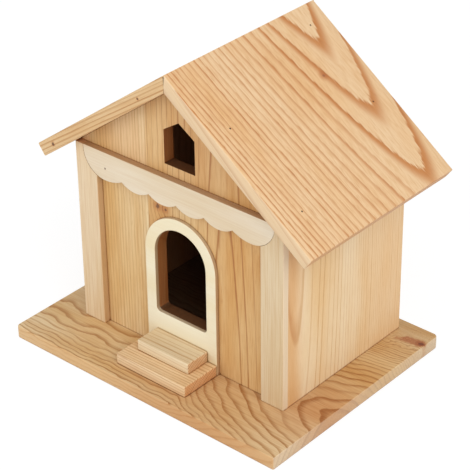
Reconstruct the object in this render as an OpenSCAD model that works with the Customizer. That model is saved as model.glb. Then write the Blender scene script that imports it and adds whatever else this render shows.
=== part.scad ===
// Parrot nest box: a small pine house with a gable roof, an arched doorway and two steps.
// Millimetres, +Z up. The front faces -Y, and the origin is on the floor under the middle of the whole part.

/* [House body] */
// Width across the outer faces of the side walls
body_w = 200; // [160:1:260]
// Depth of the side walls, from behind the front trim to the back
body_d = 135.5; // [100:0.5:220]
// Height of a side wall at its outer face
wall_h = 154; // [140:1:200]
// Thickness of the wall boards
wall_t = 10; // [8:0.5:14]
// Distance from the doorway to the glue joint between the two boards of the front wall
front_joint_gap = 7.5; // [1:0.5:10]

/* [Roof] */
// Slope of both roof boards in degrees
roof_pitch = 36.5; // [30:0.5:42]
// Length of a roof board from ridge to eave, along the slope
roof_slope_l = 163.5; // [150:0.5:220]
// Thickness of the roof boards
roof_t = 11; // [8:0.5:14]
// How far the roof reaches past the front trim
roof_front_overhang = 8.5; // [4:0.5:25]
// How far the roof reaches past the back wall
roof_back_overhang = 15; // [4:0.5:25]
// Radius of the eased edges of the roof boards
roof_edge_r = 0.8; // [0.4:0.1:2]

/* [Base board] */
// Thickness of the base board
base_t = 10.5; // [8:0.5:16]
// How far the base reaches past each side wall
base_side_margin = 30; // [15:0.5:45]
// Depth of the porch in front of the trim
base_front_margin = 47; // [40:0.5:70]
// How far the base reaches past the back wall
base_back_margin = 11; // [5:0.5:30]
// Radius of the base's corners, seen from above
base_corner_r = 5; // [3:0.5:10]
// Radius of the base's eased upper edges
base_edge_r = 2.5; // [0.5:0.5:4]

/* [Front trim] */
// Thickness of the corner posts and the fascia
trim_t = 5.5; // [4:0.5:9]
// Width of a corner post
post_w = 21; // [14:0.5:28]
// Radius of the posts' eased front edges
post_edge_r = 0.6; // [0.3:0.1:1.5]
// How far the trim's top stays below the tops of the side walls
trim_drop = 0.2; // [0.2:0.2:8]
// Height of the fascia from its top to the tips of its scallops
fascia_h = 23.5; // [16:0.5:28]
// Distance from a fascia end to the outer side of the post that it is let into
fascia_end_inset = 8; // [4:0.5:12]
// Width of the rounded lobe at each end of the fascia
fascia_end_lobe_w = 38.5; // [30:0.5:46]
// Height of the straight stretch above the round at each fascia end
fascia_end_land = 2; // [1:0.5:6]
// Number of scallops between the two end lobes
scallop_count = 4; // [2:1:8]
// Height of the notches between the scallops
scallop_depth = 4.4; // [2:0.1:6]
// Joint gap between the fascia's ends and the posts
trim_gap = 0.2; // [0.1:0.1:0.6]

/* [Doorway] */
// Width of the doorway
door_w = 50; // [40:0.5:60]
// Height of the doorway's sill above the base
door_sill_h = 33.5; // [26:0.5:45]
// Radius of the doorway's lower corners
door_corner_r = 3.5; // [1:0.5:6]
// Thickness of the arched door surround
surround_t = 3; // [2:0.5:5]
// Width of the surround's band beside and over the doorway
surround_band = 9.5; // [6:0.5:14]
// Distance from the top of the surround to the tips of the scallops
surround_head_gap = 9.6; // [4:0.2:20]

/* [Gable window] */
// Width of the house-shaped window
window_w = 29.5; // [20:0.5:36]
// Height of the window's sill above the top of the fascia
window_sill_gap = 8.4; // [4:0.2:14]
// Height of the window's straight sides
window_side_h = 27.5; // [18:0.5:32]
// Height of the window's peak above its sides
window_peak_h = 9.5; // [5:0.5:14]

/* [Steps] */
// Thickness of each step
step_t = 9; // [6:0.5:12]
// Depth of the lower step, which is as wide as the door surround
lower_step_d = 36; // [26:0.5:40]
// How far each end of the upper step stays inside the lower step
upper_step_inset = 9; // [4:0.5:14]
// Depth of the upper step
upper_step_d = 22.2; // [14:0.2:25]
// Radius of the steps' eased edges
step_edge_r = 1.2; // [0.4:0.1:2]

/* [Hidden] */
$fn = 96;

// Depth of the cuts past the faces that they open
overrun = 1;

// Places along the depth, from the front of the base to the back of the base or the roof
base_w = body_w + 2 * base_side_margin;
base_d = base_front_margin + trim_t + body_d + base_back_margin;
whole_d = base_front_margin + trim_t + body_d + max(base_back_margin, roof_back_overhang);
base_mid_y = (base_d - whole_d) / 2;
trim_front_y = base_front_margin - whole_d / 2;
wall_front_y = trim_front_y + trim_t;
wall_back_y = wall_front_y + body_d;
surround_front_y = wall_front_y - surround_t;

// Heights above the base board's top, where the house stands
floor_z = base_t;
roof_rise = tan(roof_pitch);
inner_w = body_w - 2 * wall_t;
wall_inner_h = wall_h + wall_t * roof_rise;
gable_h = wall_h + body_w / 2 * roof_rise;
ridge_z = floor_z + gable_h + roof_t / cos(roof_pitch);
roof_d = roof_front_overhang + trim_t + body_d + roof_back_overhang;
roof_mid_y = trim_front_y - roof_front_overhang + roof_d / 2;

// Trim, doorway, window and steps
trim_top_h = wall_h - trim_drop;
fascia_l = body_w - 2 * fascia_end_inset;
fascia_tip_h = trim_top_h - fascia_h;
fascia_end_r = fascia_h - fascia_end_land;
scallop_pitch = (fascia_l - 2 * fascia_end_lobe_w) / scallop_count;
surround_w = door_w + 2 * surround_band;
door_spring_h = fascia_tip_h - surround_head_gap - surround_w / 2;
front_joint_x = -door_w / 2 - front_joint_gap;
window_sill_h = trim_top_h + window_sill_gap;
lower_step_w = surround_w;
upper_step_w = lower_step_w - 2 * upper_step_inset;

roof_pine = "#E9C79B";
wall_pine = "#D9AE72";
side_pine = "#E5C495";
base_pine = "#D2A870";
step_pine = "#E3C096";
trim_ply = "#E1CBA5";
surround_ply = "#E9DCB9";

// Rectangle about the origin with all its corners rounded.
module rounded_rect(size, r) {
    square([size.x - 2 * r, size.y], center = true);
    square([size.x, size.y - 2 * r], center = true);
    for (side_x = [-1, 1], side_y = [-1, 1])
        translate([side_x * (size.x / 2 - r), side_y * (size.y / 2 - r)]) circle(r);
}

// Rectangle that stands on the origin with only its upper corners rounded.
module round_top_rect(size, r) {
    translate([-size.x / 2, 0]) square([size.x, size.y - r]);
    translate([r - size.x / 2, 0]) square([size.x - 2 * r, size.y]);
    for (side = [-1, 1]) translate([side * (size.x / 2 - r), size.y - r]) circle(r);
}

// Board that lies on z = 0, with eased upper edges and rounded corners.
module eased_board(size, edge_r, corner_r) {
    intersection() {
        linear_extrude(size.z) rounded_rect([size.x, size.y], corner_r);
        translate([0, size.y / 2, 0]) rotate([90, 0, 0])
            linear_extrude(size.y) round_top_rect([size.x, size.z], edge_r);
        translate([-size.x / 2, 0, 0]) rotate([90, 0, 90])
            linear_extrude(size.x) round_top_rect([size.y, size.z], edge_r);
    }
}

// Stands an outline drawn in width and height on the base board, from front_y backwards.
module upright(front_y, t) {
    translate([0, front_y + t, floor_z]) rotate([90, 0, 0]) linear_extrude(t) children();
}

// Outline with straight sides from the floor and a round head.
module arch_outline(w, spring_h) {
    translate([-w / 2, 0]) square([w, spring_h]);
    translate([0, spring_h]) circle(d = w);
}

// Outline of the doorway, with rounded corners at its sill.
module doorway_outline() {
    difference() {
        arch_outline(door_w, door_spring_h);
        translate([-door_w / 2, 0]) square([door_w, door_sill_h]);
        for (side = [-1, 1]) difference() {
            translate([side * (door_w / 2 - door_corner_r / 2), door_sill_h + door_corner_r / 2])
                square(door_corner_r, center = true);
            translate([side * (door_w / 2 - door_corner_r), door_sill_h + door_corner_r]) circle(door_corner_r);
        }
    }
}

// Outline of the gable window, a small house.
module window_outline() {
    half_w = window_w / 2;
    translate([0, window_sill_h])
        polygon([
            [-half_w, 0], [half_w, 0], [half_w, window_side_h],
            [0, window_side_h + window_peak_h], [-half_w, window_side_h]
        ]);
}

// Outline of the front and back walls between the side walls, up to the roof's underside.
module gable_outline() {
    half_w = inner_w / 2;
    polygon([[-half_w, 0], [half_w, 0], [half_w, wall_inner_h], [0, gable_h], [-half_w, wall_inner_h]]);
}

// Front wall outline with its openings, between two places along its width.
module front_wall_outline(from_x, to_x) {
    difference() {
        intersection() {
            gable_outline();
            translate([from_x, 0]) square([to_x - from_x, gable_h]);
        }
        doorway_outline();
        window_outline();
    }
}

// One scallop that hangs from the notch line, its arc running from notch to notch.
module scallop_outline(mid_x, w, from_x, to_x) {
    arc_r = (pow(w / 2, 2) + pow(scallop_depth, 2)) / (2 * scallop_depth);
    intersection() {
        translate([mid_x, fascia_tip_h + arc_r]) circle(arc_r);
        translate([from_x, fascia_tip_h]) square([to_x - from_x, fascia_h]);
    }
}

// Right-hand end of the fascia, grown by a joint gap: straight above, round at the lower corner.
module fascia_end_outline(gap) {
    end_x = fascia_l / 2 - fascia_end_r;
    translate([end_x, fascia_tip_h + fascia_end_r]) {
        square([fascia_end_r + gap, fascia_h - fascia_end_r + gap]);
        intersection() {
            circle(fascia_end_r + gap);
            translate([0, -fascia_end_r - gap]) square(fascia_end_r + gap);
        }
    }
}

// Whole outline of the fascia: a straight top, scallops below and a round lobe at each end.
module fascia_outline() {
    notch_h = fascia_tip_h + scallop_depth;
    end_flat_x = fascia_l / 2 - fascia_end_r;
    first_notch_x = fascia_l / 2 - fascia_end_lobe_w;
    translate([-end_flat_x, notch_h]) square([2 * end_flat_x, trim_top_h - notch_h]);
    for (i = [0:scallop_count - 1]) {
        mid_x = (i + 0.5) * scallop_pitch - first_notch_x;
        scallop_outline(mid_x, scallop_pitch, mid_x - scallop_pitch / 2, mid_x + scallop_pitch / 2);
    }
    for (side = [0, 1]) mirror([side, 0]) {
        scallop_outline(end_flat_x, 2 * (end_flat_x - first_notch_x), first_notch_x, end_flat_x);
        fascia_end_outline(0);
    }
}

module base_board() {
    color(base_pine) translate([0, base_mid_y, 0])
        eased_board([base_w, base_d, base_t], base_edge_r, base_corner_r);
}

module front_wall_left_board() {
    color(wall_pine) upright(wall_front_y, wall_t) front_wall_outline(-inner_w / 2, front_joint_x);
}

module front_wall_right_board() {
    color(wall_pine) upright(wall_front_y, wall_t) front_wall_outline(front_joint_x, inner_w / 2);
}

module back_wall() {
    color(wall_pine) upright(wall_back_y - wall_t, wall_t) gable_outline();
}

// Right-hand side wall, its top cut to the slope of the roof that it carries.
module side_wall() {
    half_w = body_w / 2;
    upright(wall_front_y, body_d)
        polygon([[inner_w / 2, 0], [half_w, 0], [half_w, wall_h], [inner_w / 2, wall_inner_h]]);
}

module left_wall() {
    color(side_pine) mirror([1, 0, 0]) side_wall();
}

module right_wall() {
    color(side_pine) side_wall();
}

// Right-hand roof board, cut on the plumb line where it meets its neighbour at the ridge.
module roof_board() {
    slab_l = roof_slope_l + roof_t;
    intersection() {
        translate([0, roof_mid_y, ridge_z]) rotate([0, roof_pitch, 0])
            translate([slab_l / 2 - roof_t, 0, -roof_t])
                eased_board([slab_l, roof_d, roof_t], roof_edge_r, roof_edge_r);
        translate([0, roof_mid_y - roof_d, 0]) cube([roof_slope_l + roof_t, 2 * roof_d, 2 * ridge_z]);
    }
}

module left_roof_board() {
    color(roof_pine) mirror([1, 0, 0]) roof_board();
}

module right_roof_board() {
    color(roof_pine) roof_board();
}

// Right-hand corner post, with the fascia's round end let into its inner upper corner.
module corner_post() {
    mid_x = (body_w - post_w) / 2;
    difference() {
        translate([mid_x, wall_front_y, floor_z]) rotate([0, 0, 180])
            linear_extrude(trim_top_h) round_top_rect([post_w, trim_t], post_edge_r);
        upright(trim_front_y - overrun, trim_t + 2 * overrun) {
            fascia_end_outline(trim_gap);
            translate([0, fascia_tip_h - trim_gap])
                square([fascia_l / 2 - fascia_end_r, fascia_h + overrun]);
            translate([0, trim_top_h]) square([fascia_l / 2 + trim_gap, overrun]);
        }
    }
}

module left_corner_post() {
    color(trim_ply) mirror([1, 0, 0]) corner_post();
}

module right_corner_post() {
    color(trim_ply) corner_post();
}

module scalloped_fascia() {
    color(trim_ply) upright(trim_front_y, trim_t) fascia_outline();
}

module door_surround() {
    color(surround_ply) upright(surround_front_y, surround_t) difference() {
        arch_outline(surround_w, door_spring_h);
        doorway_outline();
    }
}

// Step with its back against the door surround, at a height above the base board.
module step_block(w, d, h) {
    translate([0, surround_front_y - d / 2, floor_z + h]) eased_board([w, d, step_t], step_edge_r, step_edge_r);
}

module lower_step() {
    color(step_pine) step_block(lower_step_w, lower_step_d, 0);
}

module upper_step() {
    color(step_pine) step_block(upper_step_w, upper_step_d, step_t);
}

base_board();
front_wall_left_board();
front_wall_right_board();
back_wall();
left_wall();
right_wall();
left_roof_board();
right_roof_board();
left_corner_post();
right_corner_post();
scalloped_fascia();
door_surround();
lower_step();
upper_step();
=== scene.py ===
"""Dresses the pine nest box: planed boards with their grain, scorched cut edges, brads, and a studio.

Sizes are in millimetres, and become metres only where a mesh, a lamp or the camera is made.
"""

from __future__ import annotations

import logging
import math
from dataclasses import dataclass
from enum import Enum
from typing import Any, Callable, Iterator, NamedTuple, Sequence

import bpy
import numpy as np
from mathutils import Matrix, Vector

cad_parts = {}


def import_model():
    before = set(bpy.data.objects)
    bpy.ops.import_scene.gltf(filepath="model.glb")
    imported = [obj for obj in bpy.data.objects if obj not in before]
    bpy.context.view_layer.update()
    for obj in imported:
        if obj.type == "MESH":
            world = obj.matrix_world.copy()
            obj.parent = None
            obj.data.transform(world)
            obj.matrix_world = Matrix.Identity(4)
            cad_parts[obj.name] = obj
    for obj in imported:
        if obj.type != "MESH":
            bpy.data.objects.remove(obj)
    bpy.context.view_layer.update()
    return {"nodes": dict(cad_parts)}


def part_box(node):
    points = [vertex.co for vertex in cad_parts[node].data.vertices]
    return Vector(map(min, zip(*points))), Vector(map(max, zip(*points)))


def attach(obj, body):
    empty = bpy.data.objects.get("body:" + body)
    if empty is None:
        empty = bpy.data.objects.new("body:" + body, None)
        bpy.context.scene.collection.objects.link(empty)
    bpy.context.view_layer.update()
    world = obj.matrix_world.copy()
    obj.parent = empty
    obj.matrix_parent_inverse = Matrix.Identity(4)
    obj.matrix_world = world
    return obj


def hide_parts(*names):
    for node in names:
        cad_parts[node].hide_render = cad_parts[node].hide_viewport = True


LOG = logging.getLogger("nest_box")
MM = 0.001
BODY = "root"
ROOF_PITCH = math.radians(36.5)
QUARTER = math.pi / 2

# Widths of the wood's small features. Fibres are really a thirtieth of a millimetre wide and resin canals a
# fifth: both are drawn coarser, as bundles and short dashes, so that they show.
FIBRE_W, CANAL_W, KNOT_RING_W = 1.1, 0.9, 0.9
WAVE_W, PATCH_W = 20.0, 30.0
# Shares of a ring's width where its late wood is darkest, and where it breaks off.
LATE_PEAK, LATE_END = 0.93, 0.95
# How strongly the late wood of the weakest year shows, against the strongest.
WEAK_YEAR = 0.45
# How far the outline of a knot strays, in radii.
KNOT_RAG = 1.2

BRAD_HOLE = "brad_hole"
# Grid lines over a brad hole, in radii from its middle, and the radius of a brad's head in those of its hole.
HOLE_LINES = np.linspace(-1.2, 1.2, 13)
HEAD_SHARE = 0.64
# Points round the quarter circle of a rounded edge.
EASE_POINTS = 5
# Faces that meet at more than this angle keep a crisp line between them.
SHARP_ANGLE = math.radians(42)

Vec = tuple[float, float, float]
Signal = bpy.types.Node | bpy.types.NodeSocket
AddNode = Callable[..., bpy.types.Node]
RIGHT, BACK, UP = (1.0, 0.0, 0.0), (0.0, 1.0, 0.0), (0.0, 0.0, 1.0)
LEFT, FRONT = (-1.0, 0.0, 0.0), (0.0, -1.0, 0.0)


class Side(Enum):
    """The two halves of the box, as the sign of x."""

    LEFT = -1
    RIGHT = 1


class Faces(Enum):
    """Which faces of a board are meant."""

    ACROSS = "every face that isn't square to the given direction"
    TOWARDS = "only the faces that look in the given direction"


class Blend(Enum):
    """How a coat of colour mixes with what lies under it."""

    TINT = "MULTIPLY"
    COVER = "MIX"


def linear(hex_colour: str) -> tuple[float, float, float, float]:
    """Turns an sRGB hex colour to linear light.

    Args:
        hex_colour: The colour as #RRGGBB.

    Returns:
        Red, green, blue and an alpha of one.
    """
    srgb = np.array([int(hex_colour[i:i + 2], 16) for i in (1, 3, 5)]) / 255
    light = np.where(srgb <= 0.04045, srgb / 12.92, ((srgb + 0.055) / 1.055) ** 2.4)
    return (*light.tolist(), 1.0)


def box_mm(node: str) -> tuple[np.ndarray, np.ndarray]:
    """Lowest and highest corner of a CAD node, in millimetres."""
    low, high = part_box(node)
    return np.array(low) / MM, np.array(high) / MM


def cavity() -> tuple[np.ndarray, np.ndarray]:
    """Lowest and highest corner of the room inside, a hair larger, so that the walls' inner faces count.

    Returns:
        The two corners, in millimetres.
    """
    hair = 0.2
    (left, front, base), (right, back) = (
        [box_mm(node) for node in nodes]
        for nodes in (("left_wall", "front_wall_right_board", "base_board"), ("right_wall", "back_wall")))
    low = np.array([left[1][0], front[1][1], base[1][2]])
    high = np.array([right[0][0], back[0][1], back[1][2]])
    return low - hair, high + hair


class Shader:
    """The node tree of a material or a world, filled one node at a time."""

    def __init__(self, owner: bpy.types.Material | bpy.types.World) -> None:
        """Empties the tree of a new material or world.

        Args:
            owner: The material or world.
        """
        owner.use_nodes = True
        self.owner = owner
        self.tree = owner.node_tree
        self.tree.nodes.clear()

    def add(self, kind: str, *values: Any, **settings: Any) -> bpy.types.Node:
        """Adds a node with its settings and links.

        Args:
            kind: The node's type without its ShaderNode prefix, followed by its operation if it has one.
            values: For the sockets in order, or in a dict by name: a value to set, or what to link.
            settings: The node's properties by name.

        Returns:
            The new node.
        """
        kind, _, operation = kind.partition(" ")
        node = self.tree.nodes.new("ShaderNode" + kind)
        for key, value in (settings | ({"operation": operation} if operation else {})).items():
            setattr(node, key, value)
        wanted: dict[str | int, Any] = {}
        for place, value in enumerate(values):
            wanted |= value if isinstance(value, dict) else {place: value}
        for key, value in wanted.items():
            socket = node.inputs[key] if isinstance(key, int) else next(
                s for s in node.inputs if s.enabled and s.name == key)
            if isinstance(value, bpy.types.Node):
                value = next(s for s in value.outputs if s.enabled)
            if isinstance(value, bpy.types.NodeSocket):
                self.tree.links.new(value, socket)
            else:
                socket.default_value = value
        return node

    def place(self) -> bpy.types.Node:
        """Adds the point that is shaded, in the object's own frame and in millimetres."""
        return self.add("VectorMath SCALE", self.add("TexCoord").outputs["Object"], {"Scale": 1 / MM})


@dataclass(frozen=True)
class Cut:
    """How a board was sawn from its log.

    Attributes:
        over: A point on the show face straight over the log's heart.
        face: The direction that the show face looks in.
        grain: The direction of the grain.
        depth: How far the heart lies under that point.
        dive: How much deeper the heart lies for each millimetre along the grain.
        bow: How much nearer the heart bows up to the face there than further along.
        bow_reach: Distance along the grain over which that bow ends.
    """

    over: Vec
    face: Vec
    grain: Vec
    depth: float
    dive: float = 0.0
    bow: float = 0.0
    bow_reach: float = 1.0

    def heart(self) -> Vec:
        """A point on the log's heart line."""
        return tuple(Vector(self.over) - Vector(self.face) * self.depth)

    def run(self) -> Vec:
        """The direction of the log's heart line."""
        return tuple((Vector(self.grain) - Vector(self.face) * self.dive).normalized())


@dataclass(frozen=True)
class Knot:
    """A branch that crosses a board, the rings that swell round it, and the resin that soaks out of it.

    Attributes:
        place: Where the branch's middle meets the face.
        axis: The direction of the branch.
        radius: Its radius, or 0 where the branch itself stays under the surface.
        reach: How far from it the rings are turned aside.
        lift: How far they are turned aside beside it.
        wood: Colour of its early wood.
        heart: Colour of its late wood.
        resin: Colour that darkens the wood round it: resin-rich wood at a real knot, painted shade at a
            branchless knot on the gable.
        halo_reach: How far that darkening reaches.
    """

    place: Vec
    axis: Vec
    radius: float = 0.0
    reach: float = 1.0
    lift: float = 0.0
    wood: str = "#A9683F"
    heart: str = "#6E3D22"
    resin: str = "#DBA97F"
    halo_reach: float = 6.0


@dataclass(frozen=True)
class Edge:
    """Edges in another colour than the planed faces: those that a saw or a hot beam left so, and the fascia's
    top face.

    Attributes:
        direction: The direction that the choice of faces goes by.
        colour: Their colour.
        depth: How far that colour hides the wood, from 0 to 1.
        faces: Which faces are meant.
    """

    direction: Vec
    colour: str
    depth: float
    faces: Faces = Faces.TOWARDS


class Grain(NamedTuple):
    """What a board's rings and fibres come to at a point.

    Attributes:
        late: How far the point is late wood.
        fibre: Noise drawn out along the grain.
        patch: Slow noise for broad patches.
        dash: Noise of short dashes along the grain.
        end: How far the face is end grain.
        knots: Distance from the middle of each knot's branch.
    """

    late: Signal
    fibre: Signal
    patch: Signal
    dash: Signal
    end: Signal
    knots: list[Signal]


class Coat(NamedTuple):
    """A layer of colour over the wood.

    Attributes:
        amount: How far it covers.
        colour: Its colour as #RRGGBB, or what gives it.
        blend: How it mixes with what lies under it.
    """

    amount: Signal
    colour: str | Signal
    blend: Blend = Blend.TINT


@dataclass(frozen=True)
class Pine:
    """Pine, planed and sanded, left raw.

    Pale early wood grades into an orange-brown late wood that ends at a sharp line, once for each year of
    growth. The rings are true cylinders about the log's heart, so a board's face shows stripes or flames
    and its end shows arcs. Raw sanded wood has almost no gloss.

    Attributes:
        name: What the board is, for the material's name.
        cut: How the board lies in its log.
        early: Colour of the early wood.
        late: Colour of the late wood's sharp edge.
        tint: Colour that broad patches of the board lean to.
        ring: Width of a growth ring at the heart, negative where the sharp line faces the heart.
        narrowing: How fast rings narrow outwards, per millimetre.
        slow_from: Distance from the heart after which the tree grew ever slower.
        slowing: How much slower, per millimetre from there.
        start: Years by which the rings are shifted: the whole years pick which of them come out strong.
        lobe: How far the rings bulge at the log's sides, which points the flames.
        uneven: How much the years differ in width, as a share of a ring.
        contrast: How strongly the late wood shows, from 0 to 1.
        late_start: Share of a ring's width after which the late wood begins.
        sway: How far the grain wanders sideways.
        sway_reach: Distance over which it wanders.
        ripple: Height of the small waves in the rings.
        feather: How far fibres blur the rings' lines.
        streaks: How strongly the fibres streak the colour, from 0 to 1.
        canals: How strongly the resin canals show, from 0 to 1.
        inside: Colour of the painted shade that darkens its faces in the room inside, if it has any there.
        knots: The branches that show.
        edges: Edges of another colour.
        end_tint: Colour that darkens end grain.
        end_contrast: How strongly the late wood shows in end grain.
        joint: Colour of the painted shade in the joints with the neighbours.
        roughness: Least and most roughness.
    """

    name: str
    cut: Cut
    early: str
    late: str
    tint: str
    ring: float = 4.5
    narrowing: float = 0.0
    slow_from: float = 0.0
    slowing: float = 0.0
    start: float = 0.0
    lobe: float = 0.0
    uneven: float = 1.0
    contrast: float = 1.0
    late_start: float = 0.5
    sway: float = 3.0
    sway_reach: float = 55.0
    ripple: float = 0.0
    feather: float = 0.35
    streaks: float = 0.5
    canals: float = 0.2
    inside: str | None = None
    knots: Sequence[Knot] = ()
    edges: Sequence[Edge] = ()
    end_tint: str = "#D8A888"
    end_contrast: float = 0.6
    joint: str = "#A97B4C"
    roughness: tuple[float, float] = (0.5, 0.66)

    def grain(self, add: AddNode, place: Signal, normal: Signal) -> Grain:
        """Works out the rings and fibres.

        The ring field is the distance of a point, pushed about by slow noise, from the heart line. Divided
        by the ring width it counts the years, and its fraction runs from early to late wood.

        Args:
            add: Adds a node to the material.
            place: The point, in millimetres.
            normal: The face's direction.

        Returns:
            The board's grain at the point.
        """
        run = Vector(self.cut.run())
        out = add("VectorMath SUBTRACT", place, self.cut.heart())
        along = add("VectorMath DOT_PRODUCT", out, run)
        # Points pressed together along the grain, so that noise there runs longer than it is wide.
        slow, dashed, thread = (
            add("VectorMath MULTIPLY_ADD", along, run * (1 / stretch - 1), out) for stretch in (5, 10, 40))

        drift = add("TexNoise", slow, {"Scale": 1 / self.sway_reach, "Detail": 2.0})
        push = add("VectorMath MULTIPLY_ADD", drift.outputs["Color"], (2 * self.sway,) * 3, (-self.sway,) * 3)
        bow = add("MapRange", {"Value": add("Math ABSOLUTE", along), "From Max": self.cut.bow_reach,
                               "To Min": self.cut.bow, "To Max": 0.0})
        arm = add("VectorMath MULTIPLY_ADD", bow, -Vector(self.cut.face), out)
        arm = add("VectorMath CROSS_PRODUCT", add("VectorMath ADD", arm, push), run)
        radius = add("VectorMath LENGTH", arm)
        aside = add("Math ABSOLUTE", add("VectorMath DOT_PRODUCT", arm, self.cut.face))
        aside = add("Math DIVIDE", aside, radius)
        radius = add("Math MULTIPLY_ADD", aside, self.lobe, radius)
        radius = add("Math SUBTRACT", radius, self.feather + 2 * self.ripple)
        knots = []
        for knot in self.knots:
            off = add("VectorMath SUBTRACT", place, knot.place)
            off = add("VectorMath ADD", off, push)
            off = add("VectorMath CROSS_PRODUCT", off, Vector(knot.axis).normalized())
            rag = add("TexNoise", place, {"Scale": 0.5 / max(knot.radius, 1.0), "Detail": 2.0})
            stray = KNOT_RAG * knot.radius
            rag = add("Math MULTIPLY_ADD", rag, 2 * stray, -stray)
            off = add("Math ADD", add("VectorMath LENGTH", off), rag)
            swell = add("MapRange", off, {"From Max": knot.reach, "To Min": knot.lift,
                                     "To Max": 0.0}, interpolation_type="SMOOTHERSTEP")
            radius = add("Math SUBTRACT", radius, swell)
            knots.append(off)
        wave = add("TexNoise", out, {"Scale": 1 / WAVE_W, "Detail": 1.0})
        radius = add("Math MULTIPLY_ADD", wave, 4 * self.ripple, radius)
        fibre = add("TexNoise", thread, {"Scale": 1 / FIBRE_W, "Detail": 3.0, "Roughness": 0.6})
        radius = add("Math MULTIPLY_ADD", fibre, 2 * self.feather, radius)

        if self.slowing:
            beyond = add("Math MAXIMUM", add("Math SUBTRACT", radius, self.slow_from), 0.0)
            radius = add("Math MULTIPLY_ADD", add("Math POWER", beyond, 2.0), self.slowing, radius)
        crowd = add("Math MULTIPLY_ADD", radius, self.narrowing, 1.0)
        turns = add("Math DIVIDE", add("Math MULTIPLY", radius, crowd), self.ring)
        # Wet and dry years come in runs of two or three.
        years = add("TexNoise", {"W": turns, "Scale": 0.4, "Detail": 1.0}, noise_dimensions="1D")
        turns = add("Math MULTIPLY_ADD", years, self.uneven, turns)
        turns = add("Math ADD", turns, self.start - self.uneven / 2)
        phase = add("Math FRACT", turns)
        rise = add("MapRange", phase, {"From Min": self.late_start, "From Max": LATE_PEAK},
                   interpolation_type="SMOOTHSTEP")
        fall = add("MapRange", phase, {"From Min": LATE_END, "To Min": 1.0, "To Max": 0.0})
        vigour = add("TexWhiteNoise", {"W": add("Math FLOOR", turns)}, noise_dimensions="1D")
        vigour = add("MapRange", vigour, {"To Min": WEAK_YEAR * self.contrast,
                                  "To Max": self.contrast})
        late = add("Math MULTIPLY", add("Math MULTIPLY", rise, fall), vigour)

        end = add("Math ABSOLUTE", add("VectorMath DOT_PRODUCT", normal, run))
        end = add("MapRange", end, {"From Min": 0.7, "From Max": 0.95})
        fade = add("MapRange", end, {"To Min": 1.0, "To Max": self.end_contrast})
        late = add("Math MULTIPLY", late, fade)
        patch = add("TexNoise", slow, {"Scale": 1 / PATCH_W, "Detail": 2.0})
        dash = add("TexNoise", dashed, {"Scale": 1 / CANAL_W, "Detail": 1.0})
        return Grain(late, fibre, patch, dash, end, knots)

    def wood_coats(self, add: AddNode, grain: Grain) -> Iterator[Coat]:
        """Colours the planed wood over its early wood.

        Args:
            add: Adds a node to the material.
            grain: The board's grain.

        Yields:
            The late wood, broad patches, streaks of fibres, resin canals, and end grain.
        """
        yield Coat(grain.late, self.late, Blend.COVER)
        yield Coat(add("MapRange", grain.patch, {"From Min": 0.35, "From Max": 0.7}), self.tint)
        yield Coat(add("MapRange", grain.fibre, {"From Min": 0.42, "From Max": 0.75,
                                    "To Max": self.streaks}), "#DDBB8C")
        yield Coat(add("MapRange", grain.dash, {"From Min": 0.62, "From Max": 0.74,
                                    "To Max": self.canals}), "#CFA372")
        yield Coat(add("Math MULTIPLY", grain.end, 0.7), self.end_tint)

    def edge_coats(self, add: AddNode, normal: Signal, grain: Grain) -> Iterator[Coat]:
        """Colours the edges, a little streaked along the fibres.

        Args:
            add: Adds a node to the material.
            normal: The face's direction.
            grain: The board's grain.

        Yields:
            A coat for each kind of edge.
        """
        for edge in self.edges:
            turned = add("VectorMath DOT_PRODUCT", normal, edge.direction)
            if edge.faces is Faces.ACROSS:
                turned = add("Math SUBTRACT", 1.0, add("Math ABSOLUTE", turned))
            turned = add("MapRange", turned, {"From Min": 0.45, "From Max": 0.7})
            streak = add("MapRange", grain.fibre, {"From Min": 0.35, "From Max": 0.65,
                                      "To Min": edge.depth, "To Max": 0.82 * edge.depth})
            yield Coat(add("Math MULTIPLY", turned, streak), edge.colour, Blend.COVER)

    def knot_coats(self, add: AddNode, grain: Grain) -> Iterator[Coat]:
        """Paints the knots.

        Args:
            add: Adds a node to the material.
            grain: The board's grain.

        Yields:
            For each knot a halo of resin, painted shade instead at a branchless knot on the gable, and the
            rings of its branch if that shows.
        """
        for knot, off in zip(self.knots, grain.knots):
            halo = add("MapRange", off, {"From Min": knot.radius, "From Max": knot.halo_reach,
                                    "To Min": 0.6, "To Max": 0.0}, interpolation_type="SMOOTHSTEP")
            # The halo is resin at a real knot, and painted shade at the gable's branchless knots.
            yield Coat(halo, knot.resin)
            if knot.radius:
                rings = add("Math FRACT", add("Math DIVIDE", off, KNOT_RING_W))
                disc = add("Mix", {"Factor": rings, "A": linear(knot.wood), "B": linear(knot.heart)},
                           data_type="RGBA")
                inner = add("MapRange", off, {"From Min": knot.radius, "From Max": knot.radius * 1.4,
                                         "To Min": 0.85, "To Max": 0.0})
                yield Coat(inner, disc, Blend.COVER)

    def painted_shade_coats(self, add: AddNode, place: Signal) -> Iterator[Coat]:
        """Paints shade: darkens where less light reaches.

        Args:
            add: Adds a node to the material.
            place: The point, in millimetres.

        Yields:
            Painted shade in the room inside, in the brad holes and in the joints.
        """
        # Painted shade: the faces in the room inside are darkened.
        if self.inside:
            low, high = cavity()
            inner = add("VectorMath SUBTRACT", place, (low + high) / 2)
            inner = add("VectorMath DIVIDE", inner, (high - low) / 2)
            inner = add("SeparateXYZ", add("VectorMath ABSOLUTE", inner))
            most = add("Math MAXIMUM", inner.outputs["X"], inner.outputs["Y"])
            most = add("Math MAXIMUM", most, inner.outputs["Z"])
            yield Coat(add("Math LESS_THAN", most, 1.0), self.inside)
        # Painted shade in the brad holes: they are covered in dark brown.
        yield Coat(add("Attribute", attribute_name=BRAD_HOLE).outputs["Fac"], "#5C3E28", Blend.COVER)
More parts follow.
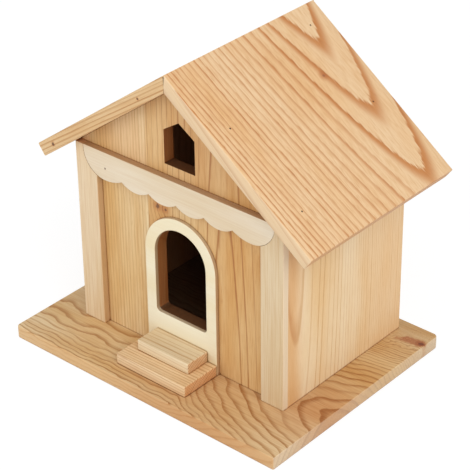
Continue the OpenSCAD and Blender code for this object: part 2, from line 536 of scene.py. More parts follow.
        # Painted shade in the joints: the last millimetre before a neighbour is darkened as far as the
        # neighbour hides it.
        joint = add("AmbientOcclusion", {"Distance": 2 * MM}, samples=8).outputs["AO"]
        yield Coat(add("MapRange", joint, {"From Min": 0.45, "From Max": 0.75,
                                    "To Min": 0.9, "To Max": 0.0}), self.joint)

    def material(self) -> bpy.types.Material:
        """Builds the material: the wood's colour, its late wood standing proud, and its dull sheen.

        Returns:
            The material.
        """
        shader = Shader(bpy.data.materials.new(f"pine, planed and sanded: {self.name}"))
        add, place = shader.add, shader.place()
        normal = add("NewGeometry").outputs["Normal"]
        grain = self.grain(add, place, normal)
        colour = linear(self.early)
        for coat in (*self.wood_coats(add, grain), *self.edge_coats(add, normal, grain),
                     *self.knot_coats(add, grain), *self.painted_shade_coats(add, place)):
            over = linear(coat.colour) if isinstance(coat.colour, str) else coat.colour
            colour = add("Mix", {"Factor": coat.amount, "A": colour, "B": over}, data_type="RGBA",
                         blend_type=coat.blend.value)
        height = add("Math MULTIPLY_ADD", grain.fibre, 0.5, grain.late)
        bump = add("Bump", {"Height": height, "Strength": 0.5, "Distance": 0.12 * MM})
        dull = add("MapRange", grain.fibre, {"From Min": 0.3, "From Max": 0.7,
                                "To Min": self.roughness[0], "To Max": self.roughness[1]})
        surface = add("BsdfPrincipled", {"Base Color": colour, "Roughness": dull, "Normal": bump, "IOR": 1.5})
        add("OutputMaterial", {"Surface": surface})
        return shader.owner


@dataclass(frozen=True)
class BradSteel:
    """Bright-drawn steel wire brads, dulled by handling: small dark heads at the bottom of their holes.

    Attributes:
        colour: Colour of the steel.
        dark: Its colour where it is dullest.
        roughness: Least and most roughness.
        grit: Size of the mottling.
    """

    colour: str = "#5C5348"
    dark: str = "#3B332B"
    roughness: tuple[float, float] = (0.35, 0.6)
    grit: float = 0.4

    def material(self) -> bpy.types.Material:
        """Builds the material, its dullness mottled by noise of the grit size.

        Returns:
            The material.
        """
        shader = Shader(bpy.data.materials.new("steel wire, drawn: brads"))
        add = shader.add
        grit = add("TexNoise", {"Vector": shader.place(), "Scale": 1 / self.grit, "Detail": 2.0})
        dull = add("MapRange", grit, {"To Min": self.roughness[0], "To Max": self.roughness[1]})
        colour = add("Mix", {"Factor": grit, "A": linear(self.colour), "B": linear(self.dark)},
                     data_type="RGBA")
        surface = add("BsdfPrincipled", {"Base Color": colour, "Roughness": dull, "Metallic": 1.0})
        add("OutputMaterial", {"Surface": surface})
        return shader.owner


def grid_quads(rows: int, columns: int, joined: tuple[int, int] = (0, 0)) -> np.ndarray:
    """Quads between neighbouring points of a grid that is numbered row by row.

    Args:
        rows: Rows of points.
        columns: Points in each row.
        joined: 1 where the last row joins the first, and 1 where the last column joins the first.

    Returns:
        An array of four point numbers for each quad.
    """
    index = np.arange(rows * columns).reshape(rows, columns)
    index = np.pad(index, ((0, joined[0]), (0, joined[1])), mode="wrap")
    return np.stack([index[:-1, :-1], index[:-1, 1:], index[1:, 1:], index[1:, :-1]], axis=-1).reshape(-1, 4)


def outward(points: np.ndarray, quads: np.ndarray) -> np.ndarray:
    """Turns a closed mesh's faces outwards.

    The volume under the faces, summed over the two triangles of each quad as a third of the box that each
    spans with the origin, is negative where the faces look inwards.

    Args:
        points: The mesh's points.
        quads: Its faces.

    Returns:
        The faces, turned over if they looked inwards.
    """
    a, b, c, d = (points[quads[:, i]] for i in range(4))
    volume = np.sum(a * (np.cross(b, c) + np.cross(c, d)))
    return quads if volume > 0 else quads[:, ::-1]


def slab(front: np.ndarray, back: np.ndarray) -> tuple[np.ndarray, np.ndarray]:
    """Closes two facing grids of the same shape into one solid, with a strip of quads between their rims.

    Args:
        front: Points of the front face, as rows, columns and xyz.
        back: Points of the back face, in the same order.

    Returns:
        The points, the front's first, and the quads.
    """
    rows, columns, _ = front.shape
    count = rows * columns
    faces = grid_quads(rows, columns)
    index = np.arange(count).reshape(rows, columns)
    edge = np.concatenate([index[0, :-1], index[:-1, -1], index[-1, :0:-1], index[:0:-1, 0]])
    after = np.roll(edge, -1)
    strip = np.stack([after, edge, edge + count, after + count], axis=-1)
    points = np.concatenate([front.reshape(-1, 3), back.reshape(-1, 3)])
    return points, outward(points, np.concatenate([faces, faces[:, ::-1] + count, strip]))


def ease(inset: np.ndarray, radius: float) -> np.ndarray:
    """Drop of a rounded edge: a quarter circle, deepest at the edge and nothing from one radius inwards.

    Args:
        inset: Distance in from the edge.
        radius: The edge's radius.

    Returns:
        How far the surface lies under the flat face.
    """
    short = np.clip(1 - inset / radius, 0, 1)
    return radius * (1 - np.sqrt(1 - short ** 2))


def ease_arc(radius: float) -> tuple[np.ndarray, np.ndarray]:
    """Points round a rounded edge's quarter circle, from the side of the board to its face.

    Args:
        radius: The edge's radius.

    Returns:
        How far in from the side each point lies, and how far under the face.
    """
    bend = np.linspace(0, QUARTER, EASE_POINTS)
    return radius * (1 - np.cos(bend)), radius * (1 - np.sin(bend))


def ruled_lines(length: float, radius: float, marks: Sequence[float], hole_r: float,
                step: float) -> np.ndarray:
    """Places of a face's grid lines: close over its rounded edges and its brad holes, a step apart elsewhere.

    Args:
        length: Length of the face.
        radius: Radius of the rounded edges.
        marks: Places of the brad holes.
        hole_r: Radius of a hole.
        step: Distance between lines elsewhere.

    Returns:
        The places, in order, from 0 to the length.
    """
    edge, _ = ease_arc(radius)
    plain = np.linspace(0, length, round(length / step) + 1)[1:-1]
    close = np.concatenate([edge, length - edge, *(mark + hole_r * HOLE_LINES for mark in marks)])
    far = np.min(np.abs(plain[:, None] - close[None, :]), axis=1) > step / 4
    return np.unique(np.round(np.concatenate([close, plain[far]]), 4))


def add_piece(name: str, points: np.ndarray, faces: np.ndarray | list, material: bpy.types.Material,
              slot: str, replaced: Sequence[str] = (), marks: np.ndarray | None = None) -> None:
    """Makes a piece from its points and faces and hands it to the frame.

    Args:
        name: The piece's name.
        points: Its points, in millimetres.
        faces: Its faces, as point numbers.
        material: Its finish.
        slot: The record's slot that the finish stands for. Not used.
        replaced: CAD nodes that it stands for.
        marks: For the first points, how far each lies in a brad hole, if the piece has any.
    """
    mesh = bpy.data.meshes.new(name)
    mesh.from_pydata((points * MM).tolist(), [], [list(face) for face in faces])
    mesh.shade_smooth()
    mesh.set_sharp_from_angle(angle=SHARP_ANGLE)
    if marks is not None:
        depth = np.zeros(len(points), np.float32)
        depth[:marks.size] = marks.ravel()
        mesh.attributes.new(BRAD_HOLE, "FLOAT", "POINT").data.foreach_set("value", depth)
    mesh.materials.append(material)
    piece = bpy.data.objects.new(name, mesh)
    bpy.context.scene.collection.objects.link(piece)
    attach(piece, BODY)
    if replaced:
        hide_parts(*replaced)
    LOG.info("%s: %d points, %d faces", name, len(points), len(mesh.polygons))


@dataclass
class Board:
    """A board that is rebuilt in the box of its CAD node, with finer edges.

    Attributes:
        node: The CAD node that it stands for.
        slot: The record's slot of its finish.
        edge_r: Radius of its edges.
    """

    node: str
    slot: str
    edge_r: float = 0.7

    def __post_init__(self) -> None:
        """Takes the board's corners from its CAD node."""
        self.low, self.high = box_mm(self.node)


@dataclass
class BraddedBoard(Board):
    """A board that brads hold, each sunk in a hole of its own.

    Attributes:
        brads: The brads' places, in the two coordinates of the face.
        hole_r: Radius of a hole.
        hole_depth: Depth of a hole.
        head_depth: How far a brad's head lies under the face.
    """

    brads: Sequence[tuple[float, float]] = ()
    hole_r: float = 0.65
    hole_depth: float = 1.0
    head_depth: float = 0.5

    def dent(self, across: np.ndarray, along: np.ndarray) -> tuple[np.ndarray, np.ndarray]:
        """Holes that the sunk brads leave in the face: each a round pit with a steep wall.

        A pit has its full depth within two thirds of its radius, and rises in a straight wall to the face.

        Args:
            across: First face coordinate of each grid point.
            along: Second face coordinate of each grid point.

        Returns:
            The drop at each point, and how far each point counts as in a hole.
        """
        wall, dark_to, dark_fade = 0.34, 1.15, 0.3
        places = np.asarray(self.brads, float)
        off = np.hypot(across[..., None] - places[:, 0], along[..., None] - places[:, 1]) / self.hole_r
        nearest = off.min(axis=-1)
        drop = self.hole_depth * np.clip((1 - nearest) / wall, 0, 1)
        return drop, np.clip((dark_to - nearest) / dark_fade, 0, 1)

    def heads(self, places: np.ndarray, axis: Vec) -> tuple[np.ndarray, list]:
        """Round heads of the brads: one domed profile turned about each brad's axis.

        Args:
            places: The middle of each head's top.
            axis: The direction that the heads look in.

        Returns:
            The points and the faces.
        """
        sides, radius = 14, self.hole_r * HEAD_SHARE
        # Distance from the axis and height of each point of the profile, in radii of the head.
        profile = radius * np.array([[0.6, -0.55], [0.97, -0.5], [1.0, -0.25], [0.9, -0.1], [0.6, -0.03],
                                     [0.25, 0.0]])
        turn = np.linspace(0, 2 * math.pi, sides, endpoint=False)
        out = Vector(axis).normalized()
        first = np.array(out.orthogonal().normalized())
        second = np.cross(np.array(out), first)
        spoke = np.cos(turn)[:, None] * first + np.sin(turn)[:, None] * second
        one = profile[:, 0, None, None] * spoke + profile[:, 1, None, None] * np.array(out)
        points = (places[:, None, None, :] + one).reshape(-1, 3)
        rings = len(profile)
        wall = grid_quads(rings, sides, joined=(0, 1))
        loop = np.arange(sides)
        faces: list = []
        for start in range(0, len(points), rings * sides):
            faces += (wall + start).tolist()
            faces += [(loop[::-1] + start).tolist(), (loop + start + (rings - 1) * sides).tolist()]
        return points, faces


@dataclass
class RoofBoard(BraddedBoard):
    """One slope of the roof: a single wide board, cut plumb at the ridge, with its edges eased.

    A point of it is given by its run down the slope from the ridge, its y, and its height over the face.

    Attributes:
        side: Which slope it is.
        eave_round: How much further it reaches than its box shows, because its eave is rounded.
        step: Distance between grid lines on the plain face.
    """

    side: Side = Side.RIGHT
    eave_round: float = 0.38
    step: float = 9.0

    def __post_init__(self) -> None:
        """Takes the board's sizes from its CAD node."""
        super().__post_init__()
        low, high = self.low, self.high
        self.front_y, self.back_y, self.ridge_z = low[1], high[1], high[2]
        self.reach = max(abs(low[0]), abs(high[0])) / math.cos(ROOF_PITCH) + self.eave_round
        self.thickness = (self.ridge_z - self.reach * math.sin(ROOF_PITCH) - low[2]) / math.cos(ROOF_PITCH)

    def slope(self) -> Vec:
        """Direction down the slope."""
        return (self.side.value * math.cos(ROOF_PITCH), 0.0, -math.sin(ROOF_PITCH))

    def normal(self) -> Vec:
        """Direction that the top looks in."""
        return (self.side.value * math.sin(ROOF_PITCH), 0.0, math.cos(ROOF_PITCH))

    def at(self, run: np.ndarray | float, y: np.ndarray | float,
           height: np.ndarray | float = 0.0) -> np.ndarray:
        """Point at a run down the slope, a place y and a height over the face.

        Args:
            run: Distance down the slope from the ridge.
            y: Place along the ridge.
            height: Height over the face.

        Returns:
            The points, with xyz as the last axis.
        """
        run, y, height = np.broadcast_arrays(run, y, height)
        down, out = np.array(self.slope()), np.array(self.normal())
        middle = np.stack([np.zeros_like(y), y, np.full_like(y, self.ridge_z)], axis=-1)
        return middle + run[..., None] * down + height[..., None] * out

    def build(self, finish: Pine, steel: bpy.types.Material) -> None:
        """Makes the board and the heads of its brads.

        The top is a grid in run and y that drops over the eased edges and into the brad holes. The underside
        is the same grid a thickness lower, where the plumb cut starts it further down the slope.

        Args:
            finish: Finish of the board.
            steel: Finish of the brads.
        """
        places = np.array(self.brads)
        width = self.back_y - self.front_y
        runs = ruled_lines(self.reach, self.edge_r, places[:, 0], self.hole_r, self.step)
        ys = ruled_lines(width, self.edge_r, places[:, 1] - self.front_y, self.hole_r, self.step)
        run, y = np.meshgrid(runs, ys + self.front_y, indexing="ij")
        inset_run = np.minimum(self.reach - run, run + self.edge_r)
        inset_y = np.minimum(y - self.front_y, self.back_y - y)
        drop = np.minimum(np.hypot(ease(inset_run, self.edge_r), ease(inset_y, self.edge_r)), self.edge_r)
        dent, marks = self.dent(run, y)
        plumb = self.thickness * math.tan(ROOF_PITCH)
        under = plumb + run * (1 - plumb / self.reach)
        board = slab(self.at(run, y, -drop - dent), self.at(under, y, -self.thickness + drop / 2))
        add_piece(f"{self.node}_planed", *board, finish.material(), self.slot, [self.node], marks)
        heads = self.heads(self.at(places[:, 0], places[:, 1], -self.head_depth), self.normal())
        add_piece(f"{self.side.name.lower()}_roof_brads", *heads, steel, self.slot)


@dataclass
class Fascia(BraddedBoard):
    """The scalloped board under the gable, let into the corner posts at its round ends.

    Attributes:
        scallops: Number of whole scallops between the end lobes.
        scallop_depth: Depth of the notches between them.
        end_lobe_w: Width of an end lobe.
        end_land: Height of the straight end over an end lobe's quarter circle.
    """

    scallops: int = 4
    scallop_depth: float = 4.4
    end_lobe_w: float = 38.5
    end_land: float = 2.0

    def __post_init__(self) -> None:
        """Takes the board's sizes from its CAD node, and marks off the notch and the end's quarter circle."""
        super().__post_init__()
        self.half, self.height = self.high[0], self.high[2] - self.low[2]
        self.end_r = self.height - self.end_land
        self.notch, self.flat = self.half - self.end_lobe_w, self.half - self.end_r

    def lower_edge(self, x: np.ndarray) -> np.ndarray:
        """Height of the scalloped edge over the scallops' tips.

        Each scallop is an arc from notch to notch. An end lobe is half such an arc and then a quarter circle.

        Args:
            x: Places along the fascia.

        Returns:
            The edge's height at each place.
        """
        pitch = 2 * self.notch / self.scallops
        away = np.abs(x)
        lobe = np.where(away < self.notch, np.mod(away, pitch) - pitch / 2, away - self.flat)
        reach = np.where(away < self.notch, pitch / 2, self.flat - self.notch)
        arc = (reach ** 2 + self.scallop_depth ** 2) / (2 * self.scallop_depth)
        radius = np.where(away < self.flat, arc, self.end_r)
        return radius - np.sqrt(np.maximum(radius ** 2 - lobe ** 2, 0))

    def build(self, finish: Pine, steel: bpy.types.Material) -> None:
        """Makes the fascia and its brads' heads.

        The front is a grid in x and in the share of the height between the scalloped edge and the top. It
        drops back over its rounded edges and into the brad holes, and the back mirrors it without the holes.

        Args:
            finish: Finish of the board.
            steel: Finish of the brads.
        """
        half, height, places = self.half, self.height, np.array(self.brads)
        lobe_lines, shoulder_lines, bend_lines, face_rows = 18, 12, 20, 46
        lobes = np.linspace(-self.notch, self.notch, self.scallops * lobe_lines + 1)
        shoulder = np.linspace(self.notch, self.flat, shoulder_lines)[1:]
        bend = self.flat + self.end_r * np.sin(np.linspace(0, QUARTER, bend_lines))[1:]
        holes = (places[:, :1] + self.hole_r * HOLE_LINES).ravel()
        xs = np.unique(np.round(np.concatenate([-bend, -shoulder, lobes, shoulder, bend, holes]), 3))
        edge = self.lower_edge(xs)
        turned, _ = ease_arc(self.edge_r)
        face = np.linspace(0.06, 0.94, face_rows)
        shares = np.concatenate([turned / height, face, 1 - turned[::-1] / height])
        x, share = np.meshgrid(xs, shares, indexing="ij")
        rise = edge[:, None] + (height - edge[:, None]) * share
        lean = np.cos(np.arctan(np.gradient(edge, xs)))[:, None]
        inset = np.minimum(np.minimum((rise - edge[:, None]) * lean, height - rise), half - np.abs(x))
        drop = ease(np.maximum(inset, 0), self.edge_r)
        z = self.low[2] + rise
        dent, marks = self.dent(x, z)
        board = slab(np.stack([x, self.low[1] + drop + dent, z], axis=-1),
                     np.stack([x, self.high[1] - drop, z], axis=-1))
        add_piece("scalloped_fascia_eased", *board, finish.material(), self.slot, [self.node], marks)
        heads = np.insert(places, 1, self.low[1] + self.head_depth, axis=1)
        add_piece("fascia_brads", *self.heads(heads, FRONT), steel, self.slot)


@dataclass
class DoorSurround(Board):
    """The thin arched frame glued round the doorway, with its edges lightly eased.

    Attributes:
        band: Width of the frame beside and over the doorway.
        sill_h: Height of the frame under the doorway.
        corner_r: Radius of the doorway's lower corners.
    """

    band: float = 9.5
    sill_h: float = 33.5
    corner_r: float = 3.5

    def half_loops(self, half: float, height: float) -> tuple[np.ndarray, np.ndarray]:
        """Right halves of the doorway's outline and of the frame's, with a point of each facing the other's.

        From the middle of the foot each runs out to the corner, round it, up the side and over a quarter
        circle to the crown.

        Args:
            half: Half the frame's width.
            height: The frame's height.

        Returns:
            The inner and the outer points, as x and height.
        """
        open_half, spring = half - self.band, height - half
        sill, r = self.sill_h, self.corner_r
        foot, turn, side = (np.linspace(0, 1, count, endpoint=False)[:, None] for count in (12, 12, 14))
        crown = np.linspace(0, QUARTER, 28)[:, None]
        arch = np.hstack([np.cos(crown), np.sin(crown)])
        bend = turn * QUARTER
        inner = np.vstack([
            foot * [open_half - r, 0] + [0, sill],
            np.hstack([np.sin(bend), 1 - np.cos(bend)]) * r + [open_half - r, sill],
            side * [0, spring - sill - r] + [open_half, sill + r],
            arch * open_half + [0, spring],
        ])
        outer = np.vstack([
            foot * [open_half, 0],
            np.hstack([np.minimum(2 * turn, 1), np.maximum(2 * turn - 1, 0)]) * self.band + [open_half, 0],
            side * [0, spring - self.band] + [half, self.band],
            arch * half + [0, spring],
        ])
        return inner, outer

    def build(self, finish: Pine) -> None:
        """Makes the frame: a section across the band, carried round the doorway's outline.

        The section runs over the front from the inner to the outer edge, rounded at both, and back behind.

        Args:
            finish: Finish of the frame.
        """
        low, high = self.low, self.high
        mirror = np.array([-1.0, 1.0])
        inner, outer = (np.vstack([loop, loop[-2:0:-1] * mirror])
                        for loop in self.half_loops(high[0], high[2] - low[2]))
        width = np.linalg.norm(outer - inner, axis=1)
        inset, fall = ease_arc(self.edge_r)
        middle = np.linspace(0, 1, 9)[1:-1]
        share = np.concatenate([
            inset[:, None] / width,
            self.edge_r / width + middle[:, None] * (1 - 2 * self.edge_r / width),
            1 - inset[::-1, None] / width,
            np.ones((1, len(width))), np.zeros((1, len(width))),
        ])
        y = np.concatenate([low[1] + fall, np.full(len(middle), low[1]), low[1] + fall[::-1], [high[1]] * 2])
        flat = inner + share[..., None] * (outer - inner)
        y = np.broadcast_to(y[:, None], share.shape)
        points = np.stack([flat[..., 0], y, low[2] + flat[..., 1]], axis=-1).reshape(-1, 3)
        quads = outward(points, grid_quads(*share.shape, joined=(1, 1)))
        add_piece("door_surround_eased", points, quads, finish.material(), self.slot, [self.node])


@dataclass
class EasedBoard(Board):
    """A plain board with its corners rounded in plan and its edges eased by sanding.

    Attributes:
        corner_r: Radius of each corner in plan: back right, back left, front left and front right.
        flat_from: Where the flat faces' own grid starts, in edge radii from the side, to keep them flat.
    """

    corner_r: tuple[float, float, float, float] = (1.2, 1.2, 1.2, 1.2)
    flat_from: float = 1.6

    def build(self, finish: Pine) -> None:
        """Makes the board: a section through its edge, carried round a rectangle with round corners.

        The section leaves the underside round a quarter circle, climbs the side and turns onto the top. A
        point of it that lies further in goes round the corners on circles smaller by as much.

        Args:
            finish: The board's finish.
        """
        low, high = self.low, self.high
        rise, inset = ease_arc(self.edge_r)
        inset = np.concatenate([[self.flat_from * self.edge_r], inset])
        rise = np.concatenate([[0.0], rise])
        inset = np.concatenate([inset, inset[::-1]])
        z = np.concatenate([low[2] + rise, high[2] - rise[::-1]])
        start = np.arange(4) * QUARTER
        turn = start[:, None] + np.linspace(0, QUARTER, 7)
        corner = np.sign(np.stack([np.cos(start + QUARTER / 2), np.sin(start + QUARTER / 2)], axis=-1))
        radius = np.array(self.corner_r)[:, None]
        corner = (low[:2] + high[:2]) / 2 + corner * ((high[:2] - low[:2]) / 2 - radius)
        spoke = np.stack([np.cos(turn), np.sin(turn)], axis=-1)
        flat = corner[:, None, :] + (radius[..., None] - inset[:, None, None, None]) * spoke
        rows, columns = len(z), turn.size
        flat = flat.reshape(rows, columns, 2)
        points = np.concatenate([flat, np.broadcast_to(z[:, None, None], (rows, columns, 1))], axis=-1)
        loop = np.arange(columns)
        faces = grid_quads(rows, columns, joined=(0, 1)).tolist()
        faces += [loop[::-1].tolist(), (loop + (rows - 1) * columns).tolist()]
        add_piece(f"{self.node}_eased", points.reshape(-1, 3), faces, finish.material(), self.slot,
                  [self.node])


@dataclass
class Carcass:
    """The boards whose CAD shape is right as it is: walls and posts.

    Attributes:
        finishes: Finishes by node name.
    """

    finishes: dict[str, Pine]

    def dress(self, nodes: dict[str, bpy.types.Object]) -> None:
        """Puts each board's finish into its slots.

        Args:
            nodes: The frame's nodes by name.
        """
        for node, finish in self.finishes.items():
            material = finish.material()
            for slot in nodes[node].material_slots:
                slot.material = material
            LOG.info("%s: dressed as %s", node, material.name)


@dataclass
class Studio:
    """A pale floor, soft lamps and a camera where the photograph was taken from.

    Attributes:
        photo_px: Width of the photograph.
        focal_px: Focal length, in the photograph's pixels.
        azimuth: The camera's angle round the object, in degrees.
        elevation: Its angle above the floor, in degrees.
        roll: Its tilt, in degrees.
        distance: Its distance from the target.
        target: The point that it looks at.
        sensor: Width of its sensor.
        floor_size: Width of the floor.
        floor_lines: Grid lines of the floor each way.
        ambient: Strength of the light from all round.
        lamp_size: Width of a lamp.
        lamp_distance: Distance of the lamps from the target.
    """

    photo_px: float = 470.0
    focal_px: float = 1833.7
    azimuth: float = 41.087
    elevation: float = 31.165
    roll: float = -0.701
    distance: float = 1383.1
    target: Vec = (0.099, 9.717, 91.086)
    sensor: float = 36.0
    floor_size: float = 9000.0
    floor_lines: int = 9
    ambient: float = 0.62
    lamp_size: float = 1500.0
    lamp_distance: float = 1900.0

    def aim(self, azimuth: float, elevation: float) -> Vector:
        """Direction from the target to a viewer; azimuth 0 is straight in front, and 90 to the right.

        Args:
            azimuth: Angle round the object, in degrees.
            elevation: Angle above the floor, in degrees.

        Returns:
            The direction, of length one.
        """
        turn, rise = math.radians(azimuth), math.radians(elevation)
        return Vector((math.sin(turn) * math.cos(rise), -math.cos(turn) * math.cos(rise), math.sin(rise)))

    def add_camera(self) -> None:
        """Adds the camera, with the focal length that gives the photograph's own perspective."""
        data = bpy.data.cameras.new("camera")
        data.sensor_width = self.sensor
        data.lens = self.focal_px / self.photo_px * self.sensor
        camera = bpy.data.objects.new("camera", data)
        back = self.aim(self.azimuth, self.elevation)
        level = Vector(UP).cross(back).normalized()
        upright = back.cross(level)
        roll = math.radians(self.roll)
        across = level * math.cos(roll) + upright * math.sin(roll)
        turn = Matrix((across, back.cross(across), back)).transposed().to_4x4()
        place = (Vector(self.target) + back * self.distance) * MM
        camera.matrix_world = Matrix.Translation(place) @ turn
        bpy.context.scene.collection.objects.link(camera)
        bpy.context.scene.camera = camera

    def add_lamp(self, name: str, azimuth: float, elevation: float, level: float) -> None:
        """Adds a square soft lamp that looks at the target.

        Args:
            name: The lamp's name.
            azimuth: Angle round the object, in degrees.
            elevation: Angle above the floor, in degrees.
            level: Share of a white surface's own brightness that the lamp gives it, facing the lamp.
        """
        data = bpy.data.lights.new(name, "AREA")
        data.size = self.lamp_size * MM
        data.energy = level * math.pi ** 2 * (self.lamp_distance * MM) ** 2
        lamp = bpy.data.objects.new(name, data)
        away = self.aim(azimuth, elevation)
        lamp.location = (Vector(self.target) + away * self.lamp_distance) * MM
        lamp.rotation_euler = away.to_track_quat("Z", "Y").to_euler()
        bpy.context.scene.collection.objects.link(lamp)

    def add_floor(self) -> None:
        """Adds the floor: matt white paper that the camera sees as white, with the object's shadow on it."""
        half, lines = self.floor_size / 2 * MM, self.floor_lines
        x, y = np.meshgrid(*[np.linspace(-half, half, lines)] * 2, indexing="ij")
        points = np.stack([x, y, np.zeros_like(x)], axis=-1).reshape(-1, 3)
        mesh = bpy.data.meshes.new("floor")
        mesh.from_pydata(points.tolist(), [], grid_quads(lines, lines)[:, ::-1].tolist())
        shader = Shader(bpy.data.materials.new("paper, matt white"))
        add = shader.add
        path = add("LightPath").outputs
        seen = add("Math MAXIMUM", path["Is Camera Ray"], path["Is Glossy Ray"])
        seen = add("Math MAXIMUM", seen, path["Is Transmission Ray"])
        plain = add("BsdfDiffuse", {"Color": linear("#E4E4E4")})
        shade = add("BsdfDiffuse", {"Color": linear("#8C8C8C")})
        glow = add("Emission", {"Color": linear("#FFFFFF"), "Strength": 0.8})
        add("OutputMaterial", {"Surface": add("MixShader", seen, plain, add("AddShader", shade, glow))})
        mesh.materials.append(shader.owner)
        floor = bpy.data.objects.new("floor", mesh)
        bpy.context.scene.collection.objects.link(floor)

    def add_world(self) -> None:
        """Sets soft light from all round, which the camera sees as plain white."""
        shader = Shader(bpy.data.worlds.new("studio"))
        add = shader.add
        level = add("MapRange", {"Value": add("LightPath").outputs["Is Camera Ray"], "To Min": self.ambient})
        add("OutputWorld", {"Surface": add("Background", {"Color": linear("#FFFFFF"), "Strength": level})})
        bpy.context.scene.world = shader.owner

    def build(self) -> None:
        """Sets up the whole studio."""
        self.add_camera()
        self.add_world()
        self.add_floor()
        self.add_lamp("key", azimuth=66.0, elevation=38.0, level=0.5)
        self.add_lamp("fill", azimuth=-20.0, elevation=24.0, level=0.32)
        bpy.context.scene.view_settings.view_transform = "Standard"


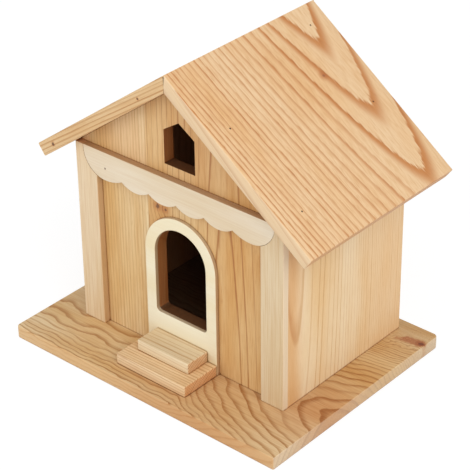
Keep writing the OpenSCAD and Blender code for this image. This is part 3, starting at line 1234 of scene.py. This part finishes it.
def board_finishes() -> dict[str, Pine]:
    """The finish of each board but the roof's, worked out from where the board lies.

    Returns:
        Finishes by node name.
    """
    wall_low, wall_high = box_mm("right_wall")
    back_y, front_y, side_x = wall_high[1], wall_low[1], wall_high[0]
    floor_z = wall_low[2]
    post_y, fascia_y, surround_y = (
        box_mm(node)[0][1] for node in ("right_corner_post", "scalloped_fascia", "door_surround"))
    (_, step_back_y, lower_top), (_, _, upper_top) = box_mm("lower_step")[1], box_mm("upper_step")[1]
    # Painted shade on the walls' faces in the room inside.
    wall_inside_shade = "#B49C96"
    opening = (Edge(FRONT, "#914E1C", 0.95, Faces.ACROSS), Edge(UP, "#4A3018", 0.9))
    post = {"ring": 3.6, "contrast": 0.12, "sway": 2.0, "canals": 0.0, "joint": "#D0B488"}
    step = {"late_start": 0.6, "sway": 1.5, "streaks": 0.3, "end_tint": "#F6DACA", "joint": "#CDAA7C"}
    dead_knot = {"wood": "#8A5A34", "heart": "#4A2C18"}
    return {
        "base_board": Pine(
            "base board", Cut((130, -36.5, floor_z), UP, LEFT, depth=82.2, bow=38.7, bow_reach=101),
            "#E2CFAA", "#B0824A", "#EBD3AE", ring=90, narrowing=0.0968, slow_from=85, slowing=0.012,
            start=0.09, lobe=10, uneven=0.1, contrast=0.95, sway_reach=40, ripple=1.3, feather=0.6,
            # Painted shade on the base's top in the room inside.
            inside="#806E68",
            knots=(Knot((124, -36, floor_z), UP, resin="#DDA468", halo_reach=60),
                   Knot((60, -85, floor_z), UP, resin="#DAAA62", halo_reach=120),
                   Knot((118, 30, floor_z), UP, resin="#EECF9A", halo_reach=90),
                   Knot((119, 77, floor_z), (0.92, 0.12, 0.35), radius=3.2, reach=16, lift=5,
                        wood="#BC8052", heart="#9A5A34"),
                   Knot((126, 79, floor_z), UP, radius=1.8, wood="#8A4A2C", heart="#5B2F1B")),
            edges=(Edge(RIGHT, "#EADFC8", 0.55), Edge(FRONT, "#D5AA74", 0.75)),
            end_tint="#EBD2B0", end_contrast=0.9),
        "front_wall_left_board": Pine(
            "front wall, left board", Cut((-170, front_y, 90), FRONT, UP, depth=12, dive=0.03),
            "#E3CB9F", "#C0985E", "#EFD9B4", ring=3.0, uneven=0.4, contrast=0.7, sway=1.5, inside=wall_inside_shade,
            # Branchless knot with a wide halo: painted shade on the gable under the roof.
            knots=(Knot((-45, front_y, 172), BACK, resin="#FAE4D6", halo_reach=50),)),
        "front_wall_right_board": Pine(
            "front wall, right board", Cut((42, front_y, 90), FRONT, UP, depth=18, dive=0.04),
            "#DDBD8A", "#AE7B44", "#EBCFA4", ring=8.0, narrowing=0.006, contrast=0.95, late_start=0.77,
            inside=wall_inside_shade, edges=opening,
            knots=(Knot((-23.7, front_y, 134.4), BACK, radius=1.3, reach=18, lift=6, **dead_knot),
                   Knot((-15.8, front_y, 134), BACK, radius=0.8, **dead_knot),
                   # Branchless knot with a wide halo: painted shade on the gable under the roof.
                   Knot((22, front_y, 188), BACK, resin="#EED6C0", halo_reach=60))),
        "back_wall": Pine(
            "back wall", Cut((-20, back_y, 90), BACK, UP, depth=30, dive=-0.05),
            "#E0B983", "#B98849", "#EFD4A6", ring=5.0, contrast=0.85, inside=wall_inside_shade),
        "left_wall": Pine(
            "left wall", Cut((-side_x, 40, 90), LEFT, UP, depth=26, dive=-0.05),
            "#E7C79A", "#C99A62", "#F3DDBA", ring=5.0, narrowing=0.005, contrast=0.8, inside=wall_inside_shade),
        "right_wall": Pine(
            "right wall", Cut((side_x, -41, 43), RIGHT, UP, depth=15, dive=-0.1),
            "#ECD4AE", "#CB9A60", "#F6E6CC", ring=25.0, narrowing=0.05, contrast=0.75, late_start=0.74,
            streaks=0.15, canals=0.05, inside=wall_inside_shade,
            knots=(Knot((side_x, -44, floor_z), UP, resin="#E8BC80", halo_reach=16),
                   Knot((side_x, 80, floor_z), UP, resin="#FCE8D0", halo_reach=70))),
        "left_corner_post": Pine(
            "left post", Cut((-60, post_y, 80), FRONT, UP, depth=35), "#E3CFB0", "#D2B58A", "#F3E7D2",
            edges=(Edge(RIGHT, "#BC8F59", 0.7),), **post),
        "right_corner_post": Pine(
            "right post", Cut((130, post_y, 80), FRONT, UP, depth=30), "#DAC6A4", "#CDB286", "#F3E7D2",
            edges=(Edge(RIGHT, "#E8D0B0", 0.8),), **post),
        "scalloped_fascia": Pine(
            "fascia", Cut((0, fascia_y, 110), FRONT, RIGHT, depth=40), "#E3D6C0", "#D6BE98", "#F5ECDC",
            ring=4.0, contrast=0.1, sway=2.0, streaks=0.2, canals=0.0, joint="#D8BC92",
            # Its top face is coloured dark brown.
            edges=(Edge(UP, "#9A6C3C", 0.85),)),
        "door_surround": Pine(
            "door surround", Cut((0, surround_y, -30), FRONT, RIGHT, depth=60),
            "#ECE3C8", "#DDCBA2", "#FAF3E2", ring=6.0, contrast=0.05, sway=5.0, streaks=0.08, canals=0.0,
            joint="#C9A877",
            edges=(Edge(FRONT, "#B0906A", 0.85, Faces.ACROSS),)),
        "lower_step": Pine(
            "lower step", Cut((0, step_back_y + 32, lower_top), UP, RIGHT, depth=70, dive=0.02),
            "#E3C59A", "#AC753C", "#F3DDBC", ring=1.8, contrast=0.9, end_contrast=1.6,
            edges=(Edge(FRONT, "#F3E0C0", 0.2),), **step),
        "upper_step": Pine(
            "upper step", Cut((0, step_back_y + 30, upper_top), UP, RIGHT, depth=75, dive=0.02),
            "#DECAA6", "#B5854C", "#F3DFBF", ring=2.0, contrast=0.7, end_contrast=2.0,
            edges=(Edge(FRONT, "#F3E2C4", 0.25),), **step),
    }


def right_roof_finish(board: RoofBoard) -> Pine:
    """Finish of the right roof board: broad flames along its back edge.

    Args:
        board: The board, for where its face lies.

    Returns:
        The finish.
    """
    return Pine(
        "right roof board",
        Cut(tuple(board.at(0.0, 77.4)), board.normal(), board.slope(), depth=65.3, dive=0.0943),
        "#E8C69B", "#BF762F", "#F9ECD9", ring=-10.72, narrowing=0.0057, start=201.74, lobe=6.9, uneven=0.15,
        contrast=0.88, late_start=0.54, sway=2.0, feather=0.85, end_tint="#E6CDB5",
        edges=(Edge(FRONT, "#DCC4A0", 0.7),),
        knots=(Knot(tuple(board.at(54.5, 59.0)), board.normal(), radius=0.7),))


def left_roof_finish(board: RoofBoard) -> Pine:
    """Finish of the left roof board: fine rings, and two pin knots in its front edge.

    Args:
        board: The board, for where its face lies.

    Returns:
        The finish.
    """
    pin_knot = {"wood": "#5A3A22", "heart": "#3A2414"}
    inner, outer = (tuple(board.at(run, board.front_y, height))
                    for run, height in ((36.0, -6.4), (148.0, -6.6)))
    return Pine(
        "left roof board",
        Cut(tuple(board.at(0.0, 12.0)), board.normal(), board.slope(), depth=70, dive=-0.04),
        "#ECCDA3", "#BC8148", "#F4E0C2", ring=1.75, sway=2.0, end_tint="#E6CDB5",
        edges=(Edge(FRONT, "#9D8952", 0.25),),
        knots=(Knot(inner, FRONT, radius=0.7, halo_reach=2.0, **pin_knot),
               Knot(outer, FRONT, radius=1.0, halo_reach=3.0, **pin_knot)))


def main() -> None:
    """Loads the frame, builds and dresses the box, and sets up the studio."""
    logging.basicConfig(level=logging.INFO, format="%(message)s")
    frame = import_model()

    finishes = board_finishes()
    fascia, surround = (finishes.pop(node) for node in ("scalloped_fascia", "door_surround"))
    for board in (EasedBoard("base_board", "base_pine", edge_r=0.9, corner_r=(4.5, 3.0, 3.5, 1.6)),
                  EasedBoard("lower_step", "lower_step_pine"), EasedBoard("upper_step", "upper_step_pine")):
        board.build(finishes.pop(board.node))
    Carcass(finishes).dress(frame["nodes"])
    steel = BradSteel().material()
    right = RoofBoard("right_roof_board", "right_roof_pine", edge_r=0.8, side=Side.RIGHT,
                      brads=((55.6, -45.0), (131.0, -41.2), (16.4, 81.8), (89.7, 82.0)))
    right.build(right_roof_finish(right), steel)
    left = RoofBoard("left_roof_board", "left_roof_pine", edge_r=0.8, side=Side.LEFT,
                     brads=((52.4, -43.2), (128.0, -44.3), (18.2, 81.0), (92.5, 82.4)))
    left.build(left_roof_finish(left), steel)
    Fascia("scalloped_fascia", "fascia_wood", edge_r=0.25, brads=((-70.1, 150.9),), hole_r=0.6,
           hole_depth=0.9, head_depth=0.405).build(fascia, steel)
    DoorSurround("door_surround", "surround_ply", edge_r=0.45).build(surround)
    Studio().build()


if __name__ == "__main__":
    main()
